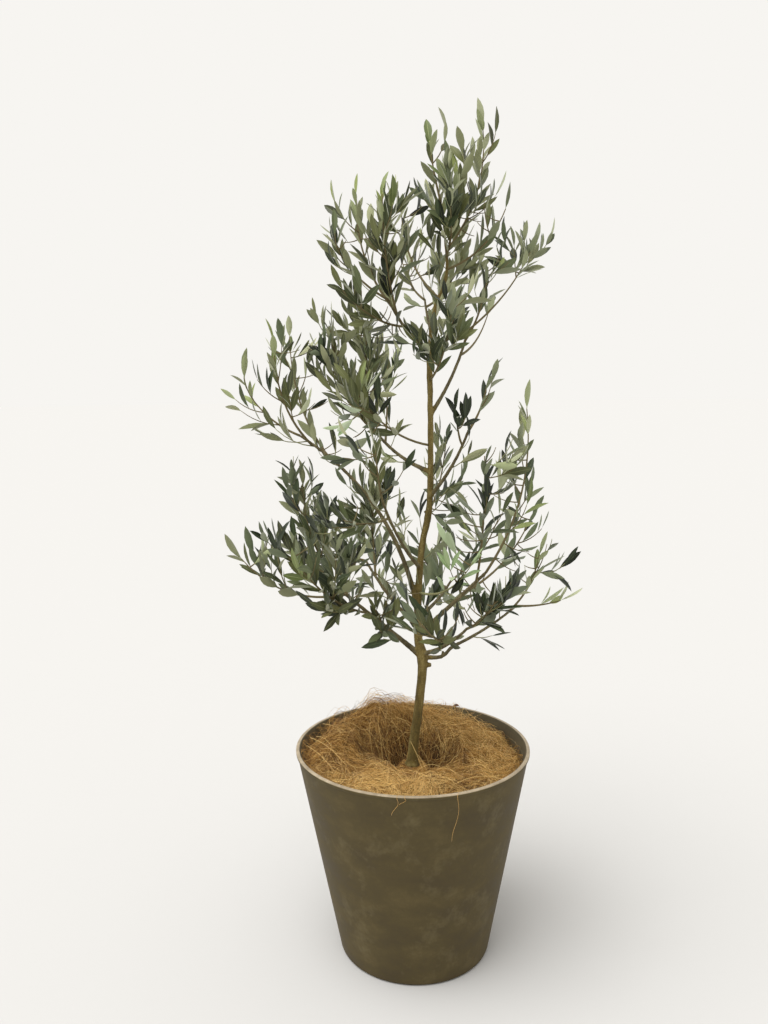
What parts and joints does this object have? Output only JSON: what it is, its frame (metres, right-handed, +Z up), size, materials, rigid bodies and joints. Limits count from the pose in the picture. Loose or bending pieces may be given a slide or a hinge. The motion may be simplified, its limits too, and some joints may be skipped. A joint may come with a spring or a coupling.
{
  "type": "potted olive tree",
  "caption": "Young olive tree with one leader, open boughs and narrow grey-green leaves, in a plain tapered round pot filled with soil and topped with coir mulch.",
  "frame": {"origin": "centre of the pot's flat underside, on the ground", "axes": "+Z up along the trunk, -Y towards the viewer of the picture, +X to that viewer's right"},
  "size_m": [0.6337, 0.5232, 1.3698],
  "materials": {
    "pot": "matte stone-like resin",
    "soil": "moist potting soil",
    "coir": "loose dry fibre",
    "bark": "smooth young bark",
    "foliage": "leathery leaf"
  },
  "bodies": {
    "root": {"pot": "pot", "soil": "soil", "coir_mulch": "coir", "trunk": "bark", "bough_low_left": "bark", "bough_low_back_left": "bark", "bough_left_middle": "bark", "bough_front_left": "bark", "bough_left_upper": "bark", "bough_high_left": "bark", "bough_high_back": "bark", "bough_high_right": "bark", "bough_mid_right": "bark", "bough_low_right": "bark", "bough_lowest_right": "bark", "bough_low_front": "bark", "bough_low_back": "bark", "foliage_low_left_outer": "foliage", "foliage_low_left_upright": "foliage", "foliage_low_left_inner": "foliage", "foliage_low_left_front": "foliage", "foliage_low_back_outer": "foliage", "foliage_low_back_upright": "foliage", "foliage_left_outer": "foliage", "foliage_left_upright_outer": "foliage", "foliage_left_upright_inner": "foliage", "foliage_front_left_upright": "foliage", "foliage_front_left_low": "foliage", "foliage_left_upper_tall": "foliage", "foliage_left_upper_outer": "foliage", "foliage_left_upper_back": "foliage", "foliage_left_upper_front": "foliage", "foliage_high_left_outer": "foliage", "foliage_high_left_tall": "foliage", "foliage_high_left_inner": "foliage", "foliage_high_left_low": "foliage", "foliage_high_left_near": "foliage", "foliage_high_back_left": "foliage", "foliage_high_back_right": "foliage", "foliage_leader_tip": "foliage", "foliage_top_tall": "foliage", "foliage_top_right": "foliage", "foliage_top_front": "foliage", "foliage_high_right_outer": "foliage", "foliage_high_right_upright": "foliage", "foliage_high_right_back": "foliage", "foliage_high_front": "foliage", "foliage_mid_right_upright": "foliage", "foliage_mid_right_front": "foliage", "foliage_mid_back": "foliage", "foliage_right_tall": "foliage", "foliage_right_upright_front": "foliage", "foliage_right_outer": "foliage", "foliage_right_back": "foliage", "foliage_low_back_middle": "foliage", "foliage_lowest_right_outer": "foliage", "foliage_lowest_right_upright": "foliage", "foliage_low_front_right": "foliage", "foliage_low_front_middle": "foliage", "foliage_front_young": "foliage"}
  },
  "joints": []
}
